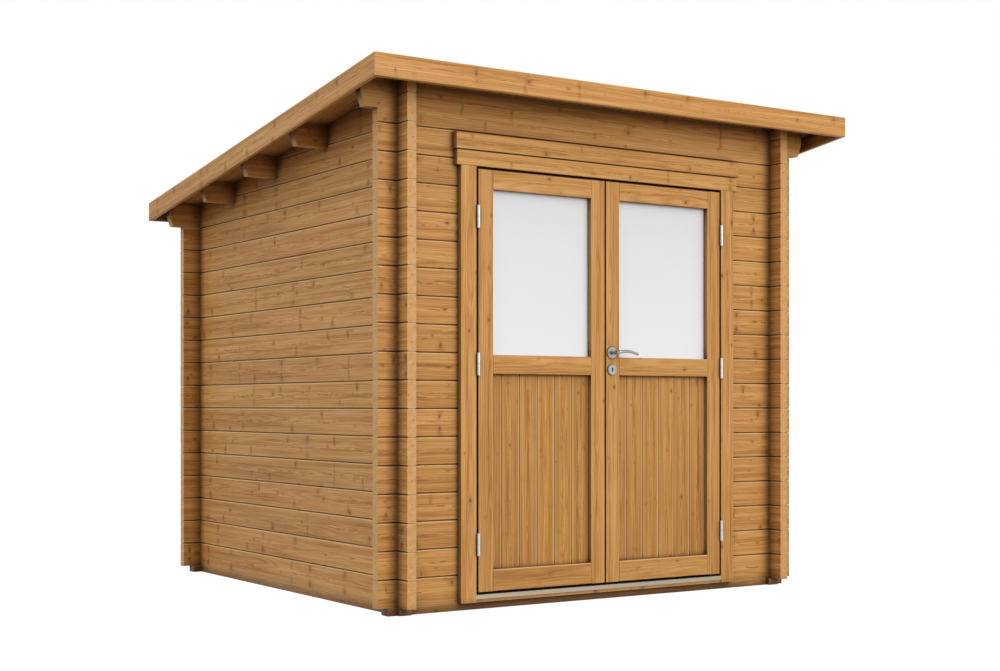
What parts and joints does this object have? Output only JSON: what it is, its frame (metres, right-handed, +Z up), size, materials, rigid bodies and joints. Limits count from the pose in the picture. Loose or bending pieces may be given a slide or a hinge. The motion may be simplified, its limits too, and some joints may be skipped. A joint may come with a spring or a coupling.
{
  "type": "garden shed",
  "caption": "Timber garden shed of bevelled logs with interlocking corners, a pent roof on purlins and an outward-opening glazed double door with a lever handle.",
  "frame": {"origin": "on the ground, under the middle of the roof in plan", "axes": "+X to the right along the door front, +Y from the front to the back, +Z up"},
  "size_m": [2.635, 2.488, 2.3028],
  "materials": {
    "stained_timber": "planed softwood with knots, honey-brown translucent stain, satin",
    "foundation_timber": "planed softwood bearers, honey-brown stain",
    "floor_timber": "planed untreated softwood boards",
    "roof_felt": "mineral roofing felt, rough",
    "pane_glass": "milky white glass, smooth",
    "hinge_steel": "bright zinc plate",
    "handle_steel": "satin stainless steel",
    "threshold_aluminium": "mill finish extrusion"
  },
  "bodies": {
    "shed": {"foundation_front": "foundation_timber", "foundation_back": "foundation_timber", "foundation_left": "foundation_timber", "foundation_right": "foundation_timber", "floor_joists": "floor_timber", "floor_boards": "floor_timber", "front_wall_left": "stained_timber", "front_wall_right": "stained_timber", "front_wall_over_door": "stained_timber", "front_top_log": "stained_timber", "left_wall": "stained_timber", "right_wall": "stained_timber", "back_wall": "stained_timber", "back_top_log": "stained_timber", "purlin_front": "stained_timber", "purlin_middle": "stained_timber", "purlin_back": "stained_timber", "roof_boards": "stained_timber", "roof_felt": "roof_felt", "fascia_front": "stained_timber", "fascia_back": "stained_timber", "fascia_left": "stained_timber", "fascia_right": "stained_timber", "door_jamb_left": "stained_timber", "door_jamb_right": "stained_timber", "door_head": "stained_timber", "door_sill": "stained_timber", "threshold_strip": "threshold_aluminium", "casing_left": "stained_timber", "casing_right": "stained_timber", "casing_head": "stained_timber", "drip_board": "stained_timber", "left_frame_hinges": "hinge_steel", "right_frame_hinges": "hinge_steel"},
    "left_door": {"left_door_stiles": "stained_timber", "left_door_rails": "stained_timber", "left_door_panel": "stained_timber", "left_door_glass": "pane_glass", "left_door_hinges": "hinge_steel"},
    "right_door": {"right_door_stiles": "stained_timber", "right_door_rails": "stained_timber", "right_door_panel": "stained_timber", "right_door_glass": "pane_glass", "right_door_hinges": "hinge_steel", "lever_roses": "handle_steel", "key_escutcheons": "handle_steel"},
    "lever": {"lever_handle": "handle_steel"}
  },
  "joints": [
    {"name": "left_door_swing", "type": "hinge", "parent": "shed", "child": "left_door", "pos_m": [-0.69375, -1.04, 1], "axis": [0, 0, -1], "range_deg": [0, 150]},
    {"name": "right_door_swing", "type": "hinge", "parent": "shed", "child": "right_door", "pos_m": [0.69375, -1.04, 1], "axis": [0, 0, 1], "range_deg": [0, 150]},
    {"name": "lever_turn", "type": "hinge", "parent": "right_door", "child": "lever", "pos_m": [0.0345, -1.012, 1.128], "axis": [0, 1, 0], "range_deg": [0, 40], "stiffness_Nm_per_rad": 1.5, "springref_deg": -28.65}
  ]
}
